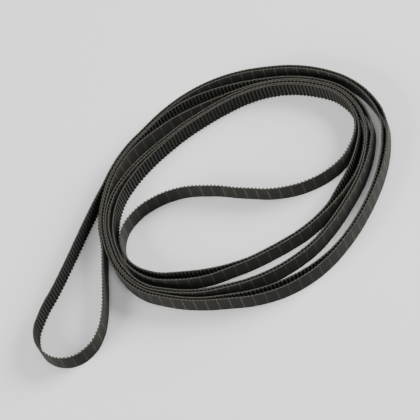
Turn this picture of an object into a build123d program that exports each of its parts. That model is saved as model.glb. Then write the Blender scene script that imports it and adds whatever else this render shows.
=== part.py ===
from build123d import *
from bisect import bisect_right
from dataclasses import dataclass
from functools import cache
from math import atan2, cos, hypot, pi, radians, sin
import os

# An endless synchronous belt. It stands on one cut edge, doubled into a strand of two runs that is
# wound into a coil of three turns. Sizes are in mm and angles in degrees.

# Belt section
BELT_WIDTH = 9.525
BELT_THICKNESS = 1.14
TOOTH_HEIGHT = 0.51
PITCH_LINE_TO_ROOT = 0.254
CORD_DIAMETER = 0.2
NOMINAL_PITCH = 2.032
TEETH_PER_BACK_LINE = 3

# Faces of the section, measured from the pitch line towards the teeth
TOOTH_ROOT = PITCH_LINE_TO_ROOT
TOOTH_TIP = TOOTH_ROOT + TOOTH_HEIGHT
BACK_FACE = TOOTH_TIP - BELT_THICKNESS
CORD_TOOTH_SIDE = CORD_DIAMETER / 2
CORD_BACK_SIDE = -CORD_DIAMETER / 2

# Neighbouring runs: distance between pitch lines where they lie against each other
RUN_CLEARANCE = 0.1
TIP_TO_TIP = 2 * TOOTH_TIP + RUN_CLEARANCE
BACK_TO_BACK = -2 * BACK_FACE + RUN_CLEARANCE

# Outline of the first turn: radius of its pitch line about the coil's axis, going clockwise from
# the left in even steps. It starts on the line of the strand's outer run, one strand further out
# than it ends.
OUTLINE_STEP = 20
OUTLINE = [82.5, 78.7, 75.0, 70.4, 70.2, 71.1, 72.5, 76.2, 79.4, 79.1, 72.4, 67.5, 66.6,
           68.3, 69.5, 69.9, 74.6, 80.4, 79.3]


@dataclass
class Bulge:
    """A stretch where two runs stand apart: where it peaks, how far it reaches and its gap."""
    peak: float
    rise: float
    fall: float
    gap: float

    def at(self, angle):
        reach = self.rise if angle < self.peak else self.fall
        share = (angle - self.peak) / reach
        return self.gap * cos(share * pi / 2) ** 2 if abs(share) < 1 else 0.0


# Gaps between the toothed faces of the strand's two runs, by angle along the outer run
STRAND_GAPS = [
    Bulge(peak=186, rise=36, fall=40, gap=1.1),
    Bulge(peak=275, rise=36, fall=40, gap=2.1),
    Bulge(peak=444, rise=42, fall=48, gap=5.4),
    Bulge(peak=540, rise=24, fall=26, gap=1.3),
    Bulge(peak=926, rise=45, fall=30, gap=3.7),
    Bulge(peak=1043, rise=32, fall=34, gap=3.4),
]

# Gaps between the backs of one turn and the next, by angle along the outer turn
TURN_GAPS = [
    Bulge(peak=112, rise=48, fall=120, gap=5.1),
    Bulge(peak=240, rise=90, fall=110, gap=8.6),
    Bulge(peak=410, rise=35, fall=70, gap=7.3),
    Bulge(peak=640, rise=90, fall=90, gap=9.9),
    Bulge(peak=740, rise=28, fall=48, gap=2.2),
]

# Angles at which the two runs meet the end loop and the free span
STATION = 12
OUTER_RUN_START = 36
OUTER_RUN_END = 1248
INNER_RUN_START = 1068
INNER_RUN_END = 0

# End loop: from the inner run, round the tip and up to the outer run, about the coil's axis
END_LOOP = [(-84.9, -12.1), (-88.0, -21.7), (-92.9, -34.7), (-97.5, -43.0), (-105.0, -50.0),
            (-114.4, -52.5), (-122.6, -49.7), (-128.1, -43.4), (-130.2, -35.0), (-128.8, -27.6),
            (-122.5, -18.5), (-110.7, -7.0), (-99.6, 4.6), (-87.8, 17.5), (-74.9, 31.0),
            (-66.0, 39.7)]

# Free span: from the outer run's end across the middle of the coil to the inner run's start
FREE_SPAN = [(63.5, 2.0), (58.1, -5.9), (49.6, -12.9), (38.4, -16.5), (27.0, -16.7), (11.4, -12.3),
             (-2.6, -3.6), (-17.6, 7.1), (-31.8, 14.2), (-45.0, 16.1), (-56.6, 14.0), (-67.5, 6.2)]


def outline_radius(angle):
    """First turn's radius, a smooth curve through the outline."""
    place = angle / OUTLINE_STEP
    left = min(max(int(place), 0), len(OUTLINE) - 2)
    share = place - left
    before = OUTLINE[max(left - 1, 0)]
    start = OUTLINE[left]
    end = OUTLINE[left + 1]
    after = OUTLINE[min(left + 2, len(OUTLINE) - 1)]
    rise = end - start
    bend = (2 * before - 5 * start + 4 * end - after) * share ** 2
    twist = (3 * start - before - 3 * end + after) * share ** 3
    return start + ((rise + start - before) * share + bend + twist) / 2


def slant(run, angle):
    """How much longer a step along the radius is than a step square to a run, where it slopes."""
    return hypot(1, (run(angle + 1) - run(angle - 1)) / radians(2) / run(angle))


@cache
def outer_radius(angle):
    """Pitch-line radius of the strand's outer run."""
    if angle <= 360:
        return outline_radius(angle)
    gap = sum(bulge.at(angle - 360) for bulge in TURN_GAPS)
    return inner_radius(angle - 360) - BACK_TO_BACK * slant(inner_radius, angle - 360) - gap


@cache
def inner_radius(angle):
    """Pitch-line radius of the strand's inner run."""
    gap = sum(bulge.at(angle) for bulge in STRAND_GAPS)
    return outer_radius(angle) - TIP_TO_TIP * slant(outer_radius, angle) - gap


def coil_point(radius, angle):
    """Place on the plan, going clockwise from the left."""
    return (-radius * cos(radians(angle)), radius * sin(radians(angle)))


def route_knots():
    """Points of the pitch line, clockwise round the closed route."""
    outer_angles = range(OUTER_RUN_START, OUTER_RUN_END + 1, STATION)
    inner_angles = range(INNER_RUN_START, INNER_RUN_END - 1, -STATION)
    outer_run = [coil_point(outer_radius(angle), angle) for angle in outer_angles]
    inner_run = [coil_point(inner_radius(angle), angle) for angle in inner_angles]
    return outer_run + FREE_SPAN + inner_run + END_LOOP


@dataclass
class Arc:
    """One round stretch of the pitch line."""
    x: float
    y: float
    heading: float
    turn: float
    length: float

    def point(self, distance, offset):
        """Point at a distance along the arc, offset to the right, where the teeth are."""
        if abs(self.turn) < 1e-7:
            heading = self.heading
            x = self.x + distance * cos(heading)
            y = self.y + distance * sin(heading)
        else:
            radius = self.length / self.turn
            heading = self.heading + distance / radius
            x = self.x + radius * (sin(heading) - sin(self.heading))
            y = self.y - radius * (cos(heading) - cos(self.heading))
        return (x + offset * sin(heading), y - offset * cos(heading))

    def edge(self, offset):
        """The stretch as one shallow curve with the arc's ends and tangents."""
        start = self.point(0, offset)
        end = self.point(self.length, offset)
        reach = hypot(end[0] - start[0], end[1] - start[1]) / 2 / cos(self.turn / 2)
        bend = (start[0] + reach * cos(self.heading), start[1] + reach * sin(self.heading))
        return Edge.make_bezier(start, bend, end)


def arc_to(x, y, heading, target):
    """The arc that leaves a point along its heading and ends on the target."""
    dx = target[0] - x
    dy = target[1] - y
    chord = hypot(dx, dy)
    across = dy * cos(heading) - dx * sin(heading)
    along = dx * cos(heading) + dy * sin(heading)
    turn = 2 * atan2(across, along)
    half = turn / 2
    length = chord if abs(half) < 1e-9 else chord * half / sin(half)
    return Arc(x, y, heading, turn, length)


def heading_through(before, point, after):
    """Heading at the middle point of the circle through three points."""
    into = atan2(point[1] - before[1], point[0] - before[0])
    out = atan2(after[1] - point[1], after[0] - point[0])
    swing = (out - into + pi) % (2 * pi) - pi
    first = hypot(point[0] - before[0], point[1] - before[1])
    second = hypot(after[0] - point[0], after[1] - point[1])
    return into + swing * first / (first + second)


def arc_pair(start, start_heading, end, end_heading):
    """Two arcs that join two points and keep the heading at both."""
    vx = end[0] - start[0]
    vy = end[1] - start[1]
    ax, ay = cos(start_heading), sin(start_heading)
    bx, by = cos(end_heading), sin(end_heading)
    reach = vx * (ax + bx) + vy * (ay + by)
    spread = 2 * (1 - ax * bx - ay * by)
    square = vx * vx + vy * vy
    if spread < 1e-9:
        arm = square / (2 * reach)
    else:
        arm = ((reach * reach + spread * square) ** 0.5 - reach) / spread
    joint = ((start[0] + end[0] + arm * (ax - bx)) / 2, (start[1] + end[1] + arm * (ay - by)) / 2)
    first = arc_to(*start, start_heading, joint)
    second = arc_to(*joint, start_heading + first.turn, end)
    return [first, second]


def build_route():
    """The pitch line as a closed chain of arcs, each tangent to the next."""
    knots = route_knots()
    count = len(knots)
    headings = [heading_through(knots[i - 1], knots[i], knots[(i + 1) % count]) for i in range(count)]
    route = []
    for i in range(count):
        following = (i + 1) % count
        route += arc_pair(knots[i], headings[i], knots[following], headings[following])
    return route


ROUTE = build_route()
STARTS = [sum(arc.length for arc in ROUTE[:i]) for i in range(len(ROUTE))]
BELT_LENGTH = sum(arc.length for arc in ROUTE)
BACK_LINES = round(BELT_LENGTH / (NOMINAL_PITCH * TEETH_PER_BACK_LINE))
TOOTH_COUNT = BACK_LINES * TEETH_PER_BACK_LINE
PITCH = BELT_LENGTH / TOOTH_COUNT


def route_point(distance, offset):
    """Point at a distance along the whole route, offset towards the teeth."""
    index = bisect_right(STARTS, distance) - 1
    return ROUTE[index].point(distance - STARTS[index], offset)


def plain_loop(offset):
    """The route at an even distance from the pitch line."""
    return Wire([arc.edge(offset) for arc in ROUTE])


def toothed_loop():
    """The tooth side: down into each root and out to each tip."""
    points = []
    for tooth in range(TOOTH_COUNT):
        points.append(route_point(tooth * PITCH, TOOTH_ROOT))
        points.append(route_point((tooth + 0.5) * PITCH, TOOTH_TIP))
    return Wire.make_polygon(points, close=True)


def ply(back_side, tooth_side):
    """A layer of the belt between two loops, as wide as the belt and standing on the ground."""
    return extrude(Face(back_side, [tooth_side]), BELT_WIDTH, dir=(0, 0, 1))


def build():
    """The belt's layers, with the middle of their box over the origin."""
    cord_back = plain_loop(CORD_BACK_SIDE)
    cord_tooth = plain_loop(CORD_TOOTH_SIDE)
    backing = ply(plain_loop(BACK_FACE), cord_back)
    cord = ply(cord_back, cord_tooth)
    teeth = ply(cord_tooth, toothed_loop())
    middle = backing.bounding_box().center()
    place = Pos(-middle.X, -middle.Y, 0)
    return {"backing_rubber": place * backing, "tension_cord": place * cord, "tooth_rubber": place * teeth}


os.makedirs("parts", exist_ok=True)
for name, part in build().items():
    part.label = name
    export_step(part, f"parts/{name}.step")
print(f"{TOOTH_COUNT} teeth, {BACK_LINES} back lines, pitch {PITCH:.4f} mm, length {BELT_LENGTH:.1f} mm")
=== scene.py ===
"""A long endless toothed drive belt, doubled and coiled, standing on its cut edge on a pale floor.

The belt is built the way it is made: a rubber backing with fine cross lines from the mould, a
winding of tension cord on the pitch line, a toothed layer of rubber and a nylon facing over the
teeth. One repeat of each layer is modelled flat, copied along the belt's length and wrapped round
the route.
"""
import logging
from dataclasses import dataclass, field
from enum import Enum
from functools import cache
from math import atan2, cos, hypot, pi, radians, sin, tan
from typing import Callable, Sequence

import bmesh
import bpy
from mathutils import Matrix, Vector


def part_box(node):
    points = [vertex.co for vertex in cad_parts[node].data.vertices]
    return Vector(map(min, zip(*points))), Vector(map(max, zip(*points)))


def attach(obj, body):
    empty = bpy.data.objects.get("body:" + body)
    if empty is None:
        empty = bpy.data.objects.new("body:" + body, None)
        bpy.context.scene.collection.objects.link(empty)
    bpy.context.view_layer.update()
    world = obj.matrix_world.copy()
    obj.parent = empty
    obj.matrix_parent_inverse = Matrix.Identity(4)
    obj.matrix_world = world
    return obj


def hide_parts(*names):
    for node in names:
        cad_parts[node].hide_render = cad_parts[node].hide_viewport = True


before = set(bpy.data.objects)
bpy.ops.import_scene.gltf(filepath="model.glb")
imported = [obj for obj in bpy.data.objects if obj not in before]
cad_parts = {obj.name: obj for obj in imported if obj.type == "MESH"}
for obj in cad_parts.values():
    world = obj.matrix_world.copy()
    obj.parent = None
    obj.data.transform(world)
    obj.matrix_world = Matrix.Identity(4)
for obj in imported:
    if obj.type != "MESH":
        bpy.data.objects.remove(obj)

LOG = logging.getLogger("belt")
MM = 0.001
STRAIGHT = 1e-7
NO_TURN = 1e-9
NEXT_COPY_REACH = 1e-6
WELD_REACH = 2e-6
ON_END = 1e-8
Point = tuple[float, float]
Colour = tuple[float, float, float]
Pattern = tuple[bpy.types.NodeSocket, bpy.types.NodeSocket]


class Slot(Enum):
    """The record's material slots."""

    BACKING = "backing"
    CORD = "cord"
    TEETH = "teeth"


# --------------------------------------------------------------------------------------------------
# The route


@dataclass(frozen=True)
class Section:
    """Sizes of the belt's cross-section in mm, measured from the pitch line towards the teeth."""

    width: float = 9.525
    thickness: float = 1.14
    tooth_height: float = 0.51
    pitch_line_to_root: float = 0.254
    cord_diameter: float = 0.2
    nominal_pitch: float = 2.032
    teeth_per_line: int = 3
    facing: float = 0.09
    run_clearance: float = 0.1

    @property
    def root(self) -> float:
        """Distance of the tooth roots."""
        return self.pitch_line_to_root

    @property
    def tip(self) -> float:
        """Distance of the tooth tips."""
        return self.root + self.tooth_height

    @property
    def back(self) -> float:
        """Distance of the belt's smooth back, which is negative."""
        return self.tip - self.thickness

    @property
    def tip_to_tip(self) -> float:
        """Distance between the pitch lines of two runs that lie tooth to tooth."""
        return 2 * self.tip + self.run_clearance

    @property
    def back_to_back(self) -> float:
        """Distance between the pitch lines of two runs that lie back to back."""
        return -2 * self.back + self.run_clearance


@dataclass(frozen=True)
class Bulge:
    """A stretch where two runs stand apart: where it peaks, how far it reaches and its gap."""

    peak: float
    rise: float
    fall: float
    gap: float

    def at(self, angle: float) -> float:
        """Return the gap in mm at an angle in degrees."""
        share = (angle - self.peak) / (self.rise if angle < self.peak else self.fall)
        return self.gap * cos(share * pi / 2) ** 2 if abs(share) < 1 else 0.0


@dataclass(frozen=True)
class Arc:
    """One round stretch of the pitch line."""

    x: float
    y: float
    heading: float
    turn: float
    length: float

    def point(self, distance: float) -> Point:
        """Return the point at a distance along the arc."""
        if abs(self.turn) < STRAIGHT:
            return (self.x + distance * cos(self.heading), self.y + distance * sin(self.heading))
        radius = self.length / self.turn
        heading = self.heading + distance / radius
        return (self.x + radius * (sin(heading) - sin(self.heading)),
                self.y - radius * (cos(heading) - cos(self.heading)))

    @classmethod
    def to(cls, start: Point, heading: float, target: Point) -> "Arc":
        """Build the arc that leaves a point along a heading and ends on a target.

        Args:
            start: Where the arc begins.
            heading: Its direction there, in radians.
            target: Where it ends.

        Returns:
            The arc.
        """
        dx, dy = target[0] - start[0], target[1] - start[1]
        across = dy * cos(heading) - dx * sin(heading)
        along = dx * cos(heading) + dy * sin(heading)
        half = atan2(across, along)
        chord = hypot(dx, dy)
        length = chord if abs(half) < NO_TURN else chord * half / sin(half)
        return cls(start[0], start[1], heading, 2 * half, length)


@dataclass
class Route:
    """The closed line of the belt's pitch line, about the coil's axis, in mm.

    A strand of two runs is wound clockwise into a coil of three turns. It ends in a loop outside
    the coil and in a free span that crosses the middle.
    """

    section: Section
    outline_step: float = 20
    outline: Sequence[float] = (82.5, 78.7, 75.0, 70.4, 70.2, 71.1, 72.5, 76.2, 79.4, 79.1, 72.4,
                                67.5, 66.6, 68.3, 69.5, 69.9, 74.6, 80.4, 79.3)
    strand_gaps: Sequence[Bulge] = (
        Bulge(peak=186, rise=36, fall=40, gap=1.1),
        Bulge(peak=275, rise=36, fall=40, gap=2.1),
        Bulge(peak=444, rise=42, fall=48, gap=5.4),
        Bulge(peak=540, rise=24, fall=26, gap=1.3),
        Bulge(peak=926, rise=45, fall=30, gap=3.7),
        Bulge(peak=1043, rise=32, fall=34, gap=3.4),
    )
    turn_gaps: Sequence[Bulge] = (
        Bulge(peak=112, rise=48, fall=120, gap=5.1),
        Bulge(peak=240, rise=90, fall=110, gap=8.6),
        Bulge(peak=410, rise=35, fall=70, gap=7.3),
        Bulge(peak=640, rise=90, fall=90, gap=9.9),
        Bulge(peak=740, rise=28, fall=48, gap=2.2),
    )
    station: int = 12
    outer_run: tuple[int, int] = (36, 1248)
    inner_run: tuple[int, int] = (1068, 0)
    end_loop: Sequence[Point] = (
        (-84.9, -12.1), (-88.0, -21.7), (-92.9, -34.7), (-97.5, -43.0), (-105.0, -50.0),
        (-114.4, -52.5), (-122.6, -49.7), (-128.1, -43.4), (-130.2, -35.0), (-128.8, -27.6),
        (-122.5, -18.5), (-110.7, -7.0), (-99.6, 4.6), (-87.8, 17.5), (-74.9, 31.0),
        (-66.0, 39.7))
    free_span: Sequence[Point] = (
        (63.5, 2.0), (58.1, -5.9), (49.6, -12.9), (38.4, -16.5), (27.0, -16.7), (11.4, -12.3),
        (-2.6, -3.6), (-17.6, 7.1), (-31.8, 14.2), (-45.0, 16.1), (-56.6, 14.0), (-67.5, 6.2))
    arcs: list[Arc] = field(default_factory=list)

    def __post_init__(self) -> None:
        """Work out the two runs and join all the knots by arcs."""
        self.outer_radius = cache(self._outer_radius)
        self.inner_radius = cache(self._inner_radius)
        knots = self._knots()
        count = len(knots)
        headings = [self._heading(knots[i - 1], knots[i], knots[(i + 1) % count])
                    for i in range(count)]
        for i in range(count):
            after = (i + 1) % count
            self.arcs += self._arc_pair(knots[i], headings[i], knots[after], headings[after])

    @property
    def length(self) -> float:
        """The belt's whole length."""
        return sum(arc.length for arc in self.arcs)

    @property
    def lines(self) -> int:
        """How many cross lines the back carries."""
        return round(self.length / (self.section.nominal_pitch * self.section.teeth_per_line))

    @property
    def teeth(self) -> int:
        """How many teeth the belt has."""
        return self.lines * self.section.teeth_per_line

    @property
    def pitch(self) -> float:
        """The belt's true pitch."""
        return self.length / self.teeth

    def points(self, step: float) -> list[Point]:
        """Return evenly close points of the pitch line, with arc ends among them."""
        found: list[Point] = []
        for arc in self.arcs:
            pieces = max(1, round(arc.length / step))
            found += [arc.point(arc.length * i / pieces) for i in range(pieces)]
        return found

    def _outline_radius(self, angle: float) -> float:
        """Return the first turn's radius, a smooth curve through the outline."""
        place = angle / self.outline_step
        left = min(max(int(place), 0), len(self.outline) - 2)
        share = place - left
        before = self.outline[max(left - 1, 0)]
        start = self.outline[left]
        end = self.outline[left + 1]
        after = self.outline[min(left + 2, len(self.outline) - 1)]
        bend = (2 * before - 5 * start + 4 * end - after) * share ** 2
        twist = (3 * start - before - 3 * end + after) * share ** 3
        return start + ((end - before) * share + bend + twist) / 2

    def _outer_radius(self, angle: float) -> float:
        """Return the strand's outer run's radius."""
        if angle <= 360:
            return self._outline_radius(angle)
        gap = sum(bulge.at(angle - 360) for bulge in self.turn_gaps)
        slant = self._slant(self.inner_radius, angle - 360)
        return self.inner_radius(angle - 360) - self.section.back_to_back * slant - gap

    def _inner_radius(self, angle: float) -> float:
        """Return the strand's inner run's radius."""
        gap = sum(bulge.at(angle) for bulge in self.strand_gaps)
        slant = self._slant(self.outer_radius, angle)
        return self.outer_radius(angle) - self.section.tip_to_tip * slant - gap

    @staticmethod
    def _slant(run: Callable[[float], float], angle: float) -> float:
        """Return how much longer a step along the radius is than one square to a sloping run."""
        rise = (run(angle + 1) - run(angle - 1)) / radians(2)
        return hypot(1, rise / run(angle))

    def _knots(self) -> list[Point]:
        """Return the points of the whole route, clockwise."""
        def on_coil(run: Callable[[float], float], start: int, end: int) -> list[Point]:
            """Return one run's points about the coil."""
            way = self.station if end > start else -self.station
            angles = range(start, end + (1 if way > 0 else -1), way)
            return [(-run(a) * cos(radians(a)), run(a) * sin(radians(a))) for a in angles]

        return (on_coil(self.outer_radius, *self.outer_run) + list(self.free_span)
                + on_coil(self.inner_radius, *self.inner_run) + list(self.end_loop))

    @staticmethod
    def _heading(before: Point, point: Point, after: Point) -> float:
        """Return the direction, at the middle point, of the circle through three points."""
        into = atan2(point[1] - before[1], point[0] - before[0])
        out = atan2(after[1] - point[1], after[0] - point[0])
        swing = (out - into + pi) % (2 * pi) - pi
        first = hypot(point[0] - before[0], point[1] - before[1])
        second = hypot(after[0] - point[0], after[1] - point[1])
        return into + swing * first / (first + second)

    @staticmethod
    def _arc_pair(start: Point, start_heading: float, end: Point, end_heading: float) -> list[Arc]:
        """Return two tangent arcs that join two points and keep the heading at both."""
        vx, vy = end[0] - start[0], end[1] - start[1]
        ax, ay, bx, by = cos(start_heading), sin(start_heading), cos(end_heading), sin(end_heading)
        reach = vx * (ax + bx) + vy * (ay + by)
        spread = 2 * (1 - ax * bx - ay * by)
        square = vx * vx + vy * vy
        if spread < NO_TURN:
            arm = square / (2 * reach)
        else:
            arm = ((reach * reach + spread * square) ** 0.5 - reach) / spread
        joint = ((start[0] + end[0] + arm * (ax - bx)) / 2,
                 (start[1] + end[1] + arm * (ay - by)) / 2)
        first = Arc.to(start, start_heading, joint)
        return [first, Arc.to(joint, start_heading + first.turn, end)]


# --------------------------------------------------------------------------------------------------
# Modelling


def deselect() -> None:
    """Leave nothing selected."""
    if bpy.context.object and bpy.context.object.mode != "OBJECT":
        bpy.ops.object.mode_set(mode="OBJECT")
    bpy.ops.object.select_all(action="DESELECT")


def pick(obj: bpy.types.Object) -> None:
    """Make one object the only selected and active one."""
    deselect()
    obj.select_set(True)
    bpy.context.view_layer.objects.active = obj


def apply_modifiers(obj: bpy.types.Object) -> None:
    """Apply an object's modifiers in order."""
    pick(obj)
    for name in [modifier.name for modifier in obj.modifiers]:
        bpy.ops.object.modifier_apply(modifier=name)


@dataclass
class BeltGuide:
    """The curve that each flat layer is wrapped round."""

    route: Route
    centre: Vector
    step: float = 0.8

    def build(self) -> bpy.types.Object:
        """Draw the route as a closed flat curve.

        Returns:
            The curve object, which is removed once the layers are wrapped.
        """
        data = bpy.data.curves.new("belt_guide", "CURVE")
        data.dimensions = "2D"
        data.use_path = True
        data.use_stretch = True
        data.use_deform_bounds = True
        places = self.route.points(self.step)
        spline = data.splines.new("POLY")
        spline.points.add(len(places) - 1)
        for point, (x, y) in zip(spline.points, places):
            point.co = ((x + self.centre.x) * MM, (y + self.centre.y) * MM, 0, 1)
        spline.use_cyclic_u = True
        guide = bpy.data.objects.new("belt_guide", data)
        bpy.context.collection.objects.link(guide)
        return guide


@dataclass
class Layer:
    """One layer of the belt: a flat repeat, copied along the length and wrapped round the route."""

    name: str
    slot: Slot
    section: Section
    route: Route
    node: str | None = None
    smooth_angle: float = 35

    def outline(self) -> tuple[list[Point], list[Point]]:
        """Return the back side and tooth side of one repeat, as distance along and distance out."""
        raise NotImplementedError

    def repeats(self) -> int:
        """Return how many repeats the belt has."""
        return self.route.teeth

    def low_high(self) -> Point:
        """Return the lowest and highest edge of the layer."""
        return (0.0, self.section.width)

    def build(self, guide: bpy.types.Object) -> bpy.types.Object:
        """Model the layer.

        Args:
            guide: The curve to wrap it round.

        Returns:
            The finished mesh object at the origin.
        """
        unit = self._unit()
        unit.name = self.name
        unit.data.name = self.name
        pick(unit)
        span = self.route.length / self.repeats()
        array = unit.modifiers.new("repeat", "ARRAY")
        array.count = self.repeats()
        array.use_relative_offset = False
        array.use_constant_offset = True
        array.constant_offset_displace = (span * MM, 0, 0)
        array.use_merge_vertices = True
        array.merge_threshold = NEXT_COPY_REACH
        array.offset_u = 1.0
        wrap = unit.modifiers.new("wrap", "CURVE")
        wrap.object = guide
        wrap.deform_axis = "POS_X"
        apply_modifiers(unit)
        bpy.ops.object.mode_set(mode="EDIT")
        bpy.ops.mesh.select_all(action="SELECT")
        self._join()
        bpy.ops.mesh.normals_make_consistent(inside=False)
        bpy.ops.object.mode_set(mode="OBJECT")
        bpy.ops.object.shade_smooth_by_angle(angle=radians(self.smooth_angle))
        deselect()
        return unit

    def _unit(self) -> bpy.types.Object:
        """Model one repeat: a grid shaped to the outline and extruded across the belt's width."""
        back, tooth = self.outline()
        low, high = self.low_high()
        deselect()
        bpy.ops.mesh.primitive_grid_add(x_subdivisions=len(back) - 1, y_subdivisions=1, size=1)
        unit = bpy.context.object
        self._shape(unit, back, tooth, low)
        bpy.ops.object.mode_set(mode="EDIT")
        bpy.ops.mesh.select_all(action="SELECT")
        width = (0, 0, (high - low) * MM)
        bpy.ops.mesh.extrude_region_move(TRANSFORM_OT_translate={"value": width})
        bpy.ops.object.mode_set(mode="OBJECT")
        self._open_ends(unit)
        self._unwrap(unit)
        return unit

    @staticmethod
    def _shape(unit: bpy.types.Object, back: list[Point], tooth: list[Point], low: float) -> None:
        """Move the grid's two rows of points to the outline's two sides."""
        order = sorted(unit.data.vertices, key=lambda v: (round(v.co.y, 4), v.co.x))
        row = len(order) // 2
        for vertex, (x, out) in zip(order[:row], tooth):
            vertex.co = (x * MM, -out * MM, low * MM)
        for vertex, (x, out) in zip(order[row:], back):
            vertex.co = (x * MM, -out * MM, low * MM)

    def _open_ends(self, unit: bpy.types.Object) -> None:
        """Delete the end faces, so that neighbouring repeats join into one skin."""
        span = self.route.length / self.repeats() * MM
        shape = bmesh.new()
        shape.from_mesh(unit.data)
        ends = [face for face in shape.faces
                if all(abs(v.co.x) < ON_END for v in face.verts)
                or all(abs(v.co.x - span) < ON_END for v in face.verts)]
        bmesh.ops.delete(shape, geom=ends, context="FACES_ONLY")
        bmesh.ops.recalc_face_normals(shape, faces=shape.faces)
        shape.to_mesh(unit.data)
        shape.free()

    def _join(self) -> None:
        """Weld the last repeat to the first, with the whole skin selected in edit mode."""
        bpy.ops.mesh.remove_doubles(threshold=WELD_REACH)

    def _unwrap(self, unit: bpy.types.Object) -> None:
        """Lay the skin out: repeats along the belt, and millimetres across it."""
        span = self.route.length / self.repeats() * MM
        sheet = unit.data.uv_layers.active or unit.data.uv_layers.new(name="belt")
        sheet.name = "belt"
        for loop in unit.data.loops:
            place = unit.data.vertices[loop.vertex_index].co
            sheet.data[loop.index].uv = (place.x / span, (place.z - place.y) / MM)


@dataclass
class Backing(Layer):
    """The rubber over the cords, smooth on its back."""

    runs: int = 8

    def repeats(self) -> int:
        """Return one repeat for each cross line."""
        return self.route.lines

    def outline(self) -> tuple[list[Point], list[Point]]:
        """Return an even strip."""
        span = self.route.length / self.repeats()
        stops = [span * i / self.runs for i in range(self.runs + 1)]
        cord = -self.section.cord_diameter / 2
        return [(x, self.section.back) for x in stops], [(x, cord) for x in stops]


@dataclass
class TensionCord(Layer):
    """The winding of cord between the two layers of rubber, cut through at both edges."""

    recess: float = 0.03
    runs: int = 4

    def low_high(self) -> Point:
        """Return edges a little below the cut rubber."""
        return (self.recess, self.section.width - self.recess)

    def outline(self) -> tuple[list[Point], list[Point]]:
        """Return an even strip."""
        half = self.section.cord_diameter / 2
        stops = [self.route.pitch * i / self.runs for i in range(self.runs + 1)]
        return [(x, -half) for x in stops], [(x, half) for x in stops]


@dataclass
class ToothRubber(Layer):
    """The rubber under the cords, with a trapezoid tooth at each pitch."""

    flank_angle: float = 20
    tip_share: float = 0.36
    root_radius: float = 0.13
    tip_radius: float = 0.13
    fillet_steps: int = 2

    def profile(self, cover: float) -> list[Point]:
        """Return one pitch of the tooth side, from the middle of one root to the next.

        Args:
            cover: How far out of the belt's own tooth line it lies.

        Returns:
            The points, as distance along and distance out.
        """
        pitch = self.route.pitch
        root, tip = self.section.root + cover, self.section.tip + cover
        half_tip = pitch * self.tip_share / 2
        half_foot = half_tip + (tip - root) * tan(radians(self.flank_angle))
        foot, shoulder = pitch / 2 - half_foot, pitch / 2 - half_tip
        lean = pi / 2 - radians(self.flank_angle)
        turns = [lean * i / self.fillet_steps for i in range(self.fillet_steps + 1)]
        hollow, round_over = self.root_radius, self.tip_radius
        foot_start = foot - hollow * tan(lean / 2)
        shoulder_end = shoulder + round_over * tan(lean / 2)
        side = [(0.0, root)]
        side += [(foot_start + hollow * sin(turn), root + hollow * (1 - cos(turn)))
                 for turn in turns]
        side += [(shoulder_end - round_over * sin(lean - turn),
                  tip - round_over * (1 - cos(lean - turn))) for turn in turns]
        return side + [(pitch - x, out) for x, out in reversed(side)]

    def outline(self) -> tuple[list[Point], list[Point]]:
        """Return the cord side and the toothed side, which the facing covers."""
        tooth = self.profile(-self.section.facing)
        cord = self.section.cord_diameter / 2
        return [(x, cord) for x, _ in tooth], tooth


@dataclass
class ToothFacing(ToothRubber):
    """The nylon fabric over the teeth and the roots between them."""

    def outline(self) -> tuple[list[Point], list[Point]]:
        """Return the rubber's tooth side and the fabric's outer side."""
        return self.profile(-self.section.facing), self.profile(0)


@dataclass
class CrossLines(Layer):
    """Fine raised lines across the back, one for every third tooth."""

    line_width: float = 0.38
    crest_share: float = 0.24
    height: float = 0.04
    seat_depth: float = 0.02
    edge_inset: float = 0.02

    def repeats(self) -> int:
        """Return one repeat for each cross line."""
        return self.route.lines

    def outline(self) -> tuple[list[Point], list[Point]]:
        """Return a low ridge in the middle of its repeat."""
        middle = self.route.length / self.repeats() / 2
        crest = self.crest_share / 2
        stops = [middle + self.line_width * share for share in (-0.5, -crest, crest, 0.5)]
        rises = [0.0, self.height, self.height, 0.0]
        seat = self.section.back + self.seat_depth
        return ([(x, self.section.back - rise) for x, rise in zip(stops, rises)],
                [(x, seat) for x in stops])

    def low_high(self) -> Point:
        """Return edges a hair inside the cut rubber."""
        return (self.edge_inset, self.section.width - self.edge_inset)

    def _open_ends(self, unit: bpy.types.Object) -> None:
        """Keep the ends of each ridge, and mark its repeat's own ends with a loose point each."""
        span = self.route.length / self.repeats() * MM
        shape = bmesh.new()
        shape.from_mesh(unit.data)
        for x in (0, span):
            shape.verts.new((x, 0, 0))
        shape.to_mesh(unit.data)
        shape.free()

    def _join(self) -> None:
        """Leave each ridge on its own, and take the marks away."""
        bpy.ops.mesh.delete_loose(use_verts=True, use_edges=False, use_faces=False)
        bpy.ops.mesh.select_all(action="SELECT")


# --------------------------------------------------------------------------------------------------
# Finishes


def new_material(name: str) -> tuple[bpy.types.Material, bpy.types.NodeTree, bpy.types.Node]:
    """Start a node material and return it with its tree and its shader."""
    material = bpy.data.materials.new(name)
    material.use_nodes = True
    tree = material.node_tree
    return material, tree, tree.nodes["Principled BSDF"]


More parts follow.
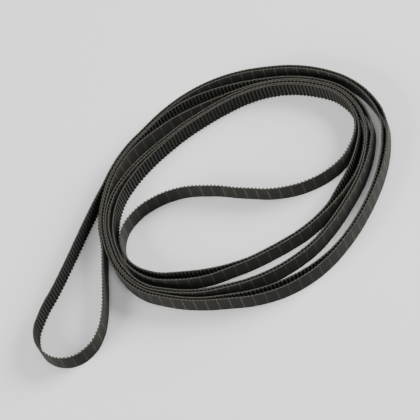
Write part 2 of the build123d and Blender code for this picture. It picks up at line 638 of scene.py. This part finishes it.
def make_speckle_group() -> bpy.types.NodeTree:
    """Build the group that gives uneven colour and fine relief.

    Returns:
        The group, whose inputs are a place and the scale of its patterns.
    """
    group = bpy.data.node_groups.new("uneven_surface", "ShaderNodeTree")
    group.interface.new_socket("Place", in_out="INPUT", socket_type="NodeSocketVector")
    group.interface.new_socket("Cloud Scale", in_out="INPUT", socket_type="NodeSocketFloat")
    group.interface.new_socket("Grain Scale", in_out="INPUT", socket_type="NodeSocketFloat")
    group.interface.new_socket("Clouds", in_out="OUTPUT", socket_type="NodeSocketFloat")
    group.interface.new_socket("Grain", in_out="OUTPUT", socket_type="NodeSocketFloat")
    nodes, links = group.nodes, group.links
    entry = nodes.new("NodeGroupInput")
    leave = nodes.new("NodeGroupOutput")
    clouds = nodes.new("ShaderNodeTexNoise")
    clouds.inputs["Detail"].default_value = 4
    grain = nodes.new("ShaderNodeTexNoise")
    grain.inputs["Detail"].default_value = 6
    grain.inputs["Roughness"].default_value = 0.7
    links.new(entry.outputs["Place"], clouds.inputs["Vector"])
    links.new(entry.outputs["Place"], grain.inputs["Vector"])
    links.new(entry.outputs["Cloud Scale"], clouds.inputs["Scale"])
    links.new(entry.outputs["Grain Scale"], grain.inputs["Scale"])
    links.new(clouds.outputs["Fac"], leave.inputs["Clouds"])
    links.new(grain.outputs["Fac"], leave.inputs["Grain"])
    return group


def make_thread_group() -> bpy.types.NodeTree:
    """Build the group that gives the pattern of yarn.

    Returns:
        The group, whose inputs are a place on the laid-out skin and the threads each way.
    """
    group = bpy.data.node_groups.new("yarn_pattern", "ShaderNodeTree")
    group.interface.new_socket("Sheet", in_out="INPUT", socket_type="NodeSocketVector")
    group.interface.new_socket("Along", in_out="INPUT", socket_type="NodeSocketFloat")
    group.interface.new_socket("Across", in_out="INPUT", socket_type="NodeSocketFloat")
    group.interface.new_socket("Threads", in_out="OUTPUT", socket_type="NodeSocketFloat")
    nodes, links = group.nodes, group.links
    entry = nodes.new("NodeGroupInput")
    leave = nodes.new("NodeGroupOutput")
    sheet = nodes.new("ShaderNodeSeparateXYZ")
    links.new(entry.outputs["Sheet"], sheet.inputs["Vector"])
    crossing = nodes.new("ShaderNodeMath")
    crossing.operation = "MULTIPLY"
    for i, (axis, count) in enumerate((("X", "Along"), ("Y", "Across"))):
        threads = nodes.new("ShaderNodeMath")
        threads.operation = "MULTIPLY"
        links.new(sheet.outputs[axis], threads.inputs[0])
        links.new(entry.outputs[count], threads.inputs[1])
        angle = nodes.new("ShaderNodeMath")
        angle.operation = "MULTIPLY"
        angle.inputs[1].default_value = 2 * pi
        links.new(threads.outputs["Value"], angle.inputs[0])
        wave = nodes.new("ShaderNodeMath")
        wave.operation = "COSINE"
        links.new(angle.outputs["Value"], wave.inputs[0])
        links.new(wave.outputs["Value"], crossing.inputs[i])
    level = nodes.new("ShaderNodeMapRange")
    level.inputs["From Min"].default_value = -1
    level.inputs["From Max"].default_value = 1
    links.new(crossing.outputs["Value"], level.inputs["Value"])
    links.new(level.outputs["Result"], leave.inputs["Threads"])
    return group


@dataclass(frozen=True)
class RubberFinish:
    """Moulded or cut rubber."""

    name: str
    colour: Colour
    lighter: Colour
    cut_colour: Colour
    roughness: float
    sheen: float = 0.0
    relief: float = 0.02
    specular: float = 0.5
    roughness_spread: float = 0.25
    cut_shade: float = 0.65
    cut_begins: float = 0.6
    cut_whole: float = 0.9
    cloud_scale: float = 120
    grain_scale: float = 2600
    bump_strength: float = 0.4
    sheen_roughness: float = 0.3

    def pattern(self, tree: bpy.types.NodeTree, uneven: bpy.types.Node) -> Pattern:
        """Return what mixes the two colours and what raises the surface."""
        return uneven.outputs["Clouds"], uneven.outputs["Grain"]

    def build(self, surface: bpy.types.NodeTree) -> bpy.types.Material:
        """Make the material.

        Args:
            surface: The group that gives uneven colour and grain.

        Returns:
            The material.
        """
        material, tree, shader = new_material(self.name)
        nodes, links = tree.nodes, tree.links
        place = nodes.new("ShaderNodeTexCoord")
        uneven = nodes.new("ShaderNodeGroup")
        uneven.node_tree = surface
        uneven.inputs["Cloud Scale"].default_value = self.cloud_scale
        uneven.inputs["Grain Scale"].default_value = self.grain_scale
        links.new(place.outputs["Object"], uneven.inputs["Place"])
        shade, height = self.pattern(tree, uneven)
        face = nodes.new("ShaderNodeMix")
        face.data_type = "RGBA"
        face.inputs["A"].default_value = (*self.colour, 1)
        face.inputs["B"].default_value = (*self.lighter, 1)
        links.new(shade, face.inputs["Factor"])
        upright = nodes.new("ShaderNodeSeparateXYZ")
        links.new(place.outputs["Normal"], upright.inputs["Vector"])
        steep = nodes.new("ShaderNodeMath")
        steep.operation = "ABSOLUTE"
        links.new(upright.outputs["Z"], steep.inputs[0])
        cut = nodes.new("ShaderNodeMapRange")
        cut.inputs["From Min"].default_value = self.cut_begins
        cut.inputs["From Max"].default_value = self.cut_whole
        links.new(steep.outputs["Value"], cut.inputs["Value"])
        cut_tone = nodes.new("ShaderNodeMix")
        cut_tone.data_type = "RGBA"
        cut_tone.inputs["A"].default_value = (*[c * self.cut_shade for c in self.cut_colour], 1)
        cut_tone.inputs["B"].default_value = (*self.cut_colour, 1)
        links.new(shade, cut_tone.inputs["Factor"])
        colour = nodes.new("ShaderNodeMix")
        colour.data_type = "RGBA"
        links.new(cut.outputs["Result"], colour.inputs["Factor"])
        links.new(face.outputs["Result"], colour.inputs["A"])
        links.new(cut_tone.outputs["Result"], colour.inputs["B"])
        links.new(colour.outputs["Result"], shader.inputs["Base Color"])
        rough = nodes.new("ShaderNodeMapRange")
        rough.inputs["To Min"].default_value = self.roughness
        rough.inputs["To Max"].default_value = min(1.0, self.roughness + self.roughness_spread)
        links.new(uneven.outputs["Clouds"], rough.inputs["Value"])
        links.new(rough.outputs["Result"], shader.inputs["Roughness"])
        bump = nodes.new("ShaderNodeBump")
        bump.inputs["Strength"].default_value = self.bump_strength
        bump.inputs["Distance"].default_value = self.relief * MM
        links.new(height, bump.inputs["Height"])
        links.new(bump.outputs["Normal"], shader.inputs["Normal"])
        shader.inputs["Specular IOR Level"].default_value = self.specular
        shader.inputs["Sheen Weight"].default_value = self.sheen
        shader.inputs["Sheen Roughness"].default_value = self.sheen_roughness
        return material


@dataclass(frozen=True)
class YarnFinish(RubberFinish):
    """Woven or wound yarn."""

    threads: bpy.types.NodeTree | None = None
    along: float = 8
    across: float = 4
    share: float = 0.7

    def pattern(self, tree: bpy.types.NodeTree, uneven: bpy.types.Node) -> Pattern:
        """Return the yarn, broken up by the uneven surface, for colour and for relief alike."""
        sheet = tree.nodes.new("ShaderNodeUVMap")
        sheet.uv_map = "belt"
        yarn = tree.nodes.new("ShaderNodeGroup")
        yarn.node_tree = self.threads
        yarn.inputs["Along"].default_value = self.along
        yarn.inputs["Across"].default_value = self.across
        tree.links.new(sheet.outputs["UV"], yarn.inputs["Sheet"])
        blend = tree.nodes.new("ShaderNodeMix")
        blend.inputs["Factor"].default_value = self.share
        tree.links.new(uneven.outputs["Grain"], blend.inputs["A"])
        tree.links.new(yarn.outputs["Threads"], blend.inputs["B"])
        return blend.outputs["Result"], blend.outputs["Result"]


# --------------------------------------------------------------------------------------------------
# Studio


@dataclass(frozen=True)
class Softbox:
    """One square soft light aimed at the belt, in metres and watts."""

    name: str
    place: tuple[float, float, float]
    power: float
    size: float = 0.9

    def build(self) -> None:
        """Hang the light."""
        data = bpy.data.lights.new(self.name, "AREA")
        data.shape = "SQUARE"
        data.size = self.size
        data.energy = self.power
        light = bpy.data.objects.new(self.name, data)
        light.location = self.place
        light.rotation_euler = (-Vector(self.place)).to_track_quat("-Z", "Y").to_euler()
        bpy.context.collection.objects.link(light)


@dataclass
class Studio:
    """Floor, soft lights and camera, in metres and degrees."""

    centre: Vector
    camera_height: float = 0.8544
    elevation: float = 53.04
    roll: float = -25.52
    lens: float = 177.9
    sensor: float = 36
    sight: float = 20
    aim: Point = (-0.0225, 0.0)
    floor_size: float = 12
    floor_roughness: float = 0.9
    floor_to_light: float = 0.12
    floor_to_camera: float = 0.95
    surround: float = 0.2
    softboxes: Sequence[Softbox] = (
        Softbox("right_softbox", (1.3, 0.1, 0.5), 50),
        Softbox("left_softbox", (-1.3, -0.3, 0.5), 32),
        Softbox("top_softbox", (0.0, 0.1, 1.6), 8),
    )

    def build(self) -> None:
        """Set the scene round the belt."""
        self._floor()
        self._world()
        for softbox in self.softboxes:
            softbox.build()
        self._camera()

    def _floor(self) -> None:
        """Lay a plain floor that shows pale to the camera and throws little light back."""
        deselect()
        bpy.ops.mesh.primitive_plane_add(size=self.floor_size, location=(0, 0, 0))
        floor = bpy.context.object
        floor.name = "floor"
        material, tree, shader = new_material("pale_floor")
        nodes, links = tree.nodes, tree.links
        shader.inputs["Roughness"].default_value = self.floor_roughness
        path = nodes.new("ShaderNodeLightPath")
        seen = nodes.new("ShaderNodeMix")
        seen.data_type = "RGBA"
        seen.inputs["A"].default_value = (*[self.floor_to_light] * 3, 1)
        seen.inputs["B"].default_value = (*[self.floor_to_camera] * 3, 1)
        links.new(path.outputs["Is Camera Ray"], seen.inputs["Factor"])
        links.new(seen.outputs["Result"], shader.inputs["Base Color"])
        floor.data.materials.append(material)

    def _world(self) -> None:
        """Give an even, pale surround."""
        world = bpy.data.worlds.new("surround")
        world.use_nodes = True
        background = world.node_tree.nodes["Background"]
        background.inputs["Color"].default_value = (1, 1, 1, 1)
        background.inputs["Strength"].default_value = self.surround
        bpy.context.scene.world = world

    def _camera(self) -> None:
        """Look down at the coil from the front, turned about the line of sight."""
        data = bpy.data.cameras.new("camera")
        data.lens = self.lens
        data.sensor_width = self.sensor
        data.clip_end = self.sight
        camera = bpy.data.objects.new("camera", data)
        back_off = self.camera_height / tan(radians(self.elevation))
        place = Matrix.Translation((self.centre.x * MM + self.aim[0],
                                    self.centre.y * MM + self.aim[1] - back_off,
                                    self.camera_height))
        pitch = Matrix.Rotation(radians(90 - self.elevation), 4, "X")
        camera.matrix_world = place @ pitch @ Matrix.Rotation(radians(self.roll), 4, "Z")
        bpy.context.collection.objects.link(camera)
        bpy.context.scene.camera = camera


# --------------------------------------------------------------------------------------------------
# The belt


@dataclass
class Belt:
    """All the layers of the belt, in the CAD model's place."""

    section: Section
    route: Route
    fine_step: float = 0.5

    def centre(self) -> Vector:
        """Return where the coil's axis stands, in mm, from the CAD model's box."""
        low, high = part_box("backing_rubber")
        places = self.route.points(self.fine_step)
        place = Vector((0, 0, 0))
        for axis in range(2):
            reach = [point[axis] for point in places]
            place[axis] = (low[axis] + high[axis]) / 2 / MM - (min(reach) + max(reach)) / 2
        return place

    def layers(self) -> list[Layer]:
        """Return the belt's layers, from the back to the teeth."""
        shared = {"section": self.section, "route": self.route}
        return [
            Backing("belt_backing", Slot.BACKING, node="backing_rubber", **shared),
            CrossLines("cross_lines", Slot.BACKING, **shared),
            TensionCord("tension_winding", Slot.CORD, node="tension_cord", **shared),
            ToothRubber("belt_teeth", Slot.TEETH, node="tooth_rubber", **shared),
            ToothFacing("tooth_facing", Slot.TEETH, **shared),
        ]

    def finishes(self) -> dict[str, bpy.types.Material]:
        """Return each layer's material."""
        surface = make_speckle_group()
        threads = make_thread_group()
        finishes = {
            "belt_backing": RubberFinish(
                "satin_backing_rubber", colour=(0.0192, 0.0188, 0.0158),
                lighter=(0.031, 0.0303, 0.0258), cut_colour=(0.011, 0.0108, 0.0084),
                roughness=0.34, sheen=0.2),
            # The raised cross lines are real, but their colour is a painted highlight: far lighter
            # than the backing, standing in for the light their ridges catch.
            "cross_lines": RubberFinish(
                "moulded_line_painted_pale", colour=(0.1, 0.098, 0.082), lighter=(0.14, 0.137, 0.115),
                cut_colour=(0.011, 0.0108, 0.0084), roughness=0.9, specular=0.15),
            "tension_winding": YarnFinish(
                "glass_fibre_cord", colour=(0.24, 0.23, 0.18), lighter=(0.38, 0.365, 0.3),
                cut_colour=(0.16, 0.155, 0.115), roughness=0.7, relief=0.03, specular=0.3,
                threads=threads, along=5, across=0),
            "belt_teeth": RubberFinish(
                "tooth_rubber_body", colour=(0.0145, 0.0142, 0.012),
                lighter=(0.022, 0.0215, 0.0183), cut_colour=(0.01, 0.0098, 0.0076),
                roughness=0.6),
            "tooth_facing": YarnFinish(
                "nylon_facing", colour=(0.0185, 0.018, 0.0155), lighter=(0.037, 0.036, 0.031),
                cut_colour=(0.012, 0.0118, 0.0092), roughness=0.5, sheen=0.1, relief=0.03,
                threads=threads),
        }
        return {name: finish.build(surface) for name, finish in finishes.items()}

    def build(self) -> Vector:
        """Build and dress every layer.

        Returns:
            The place of the coil's axis, in mm.
        """
        centre = self.centre()
        guide = BeltGuide(self.route, centre).build()
        finishes = self.finishes()
        for layer in self.layers():
            piece = layer.build(guide)
            piece.data.materials.clear()
            piece.data.materials.append(finishes[layer.name])
            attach(piece, "root")
            if layer.node:
                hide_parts(layer.node)
            LOG.info("%s: %d faces", piece.name, len(piece.data.polygons))
        bpy.data.objects.remove(guide)
        return centre


def main() -> None:
    """Build the belt and the studio, and log the belt's teeth, pitch and length."""
    logging.basicConfig(level=logging.INFO, format="%(name)s: %(message)s")
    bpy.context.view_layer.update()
    section = Section()
    route = Route(section)
    LOG.info("%d teeth, pitch %.4f mm, length %.1f mm", route.teeth, route.pitch, route.length)
    centre = Belt(section, route).build()
    Studio(centre).build()


if __name__ == "__main__":
    main()
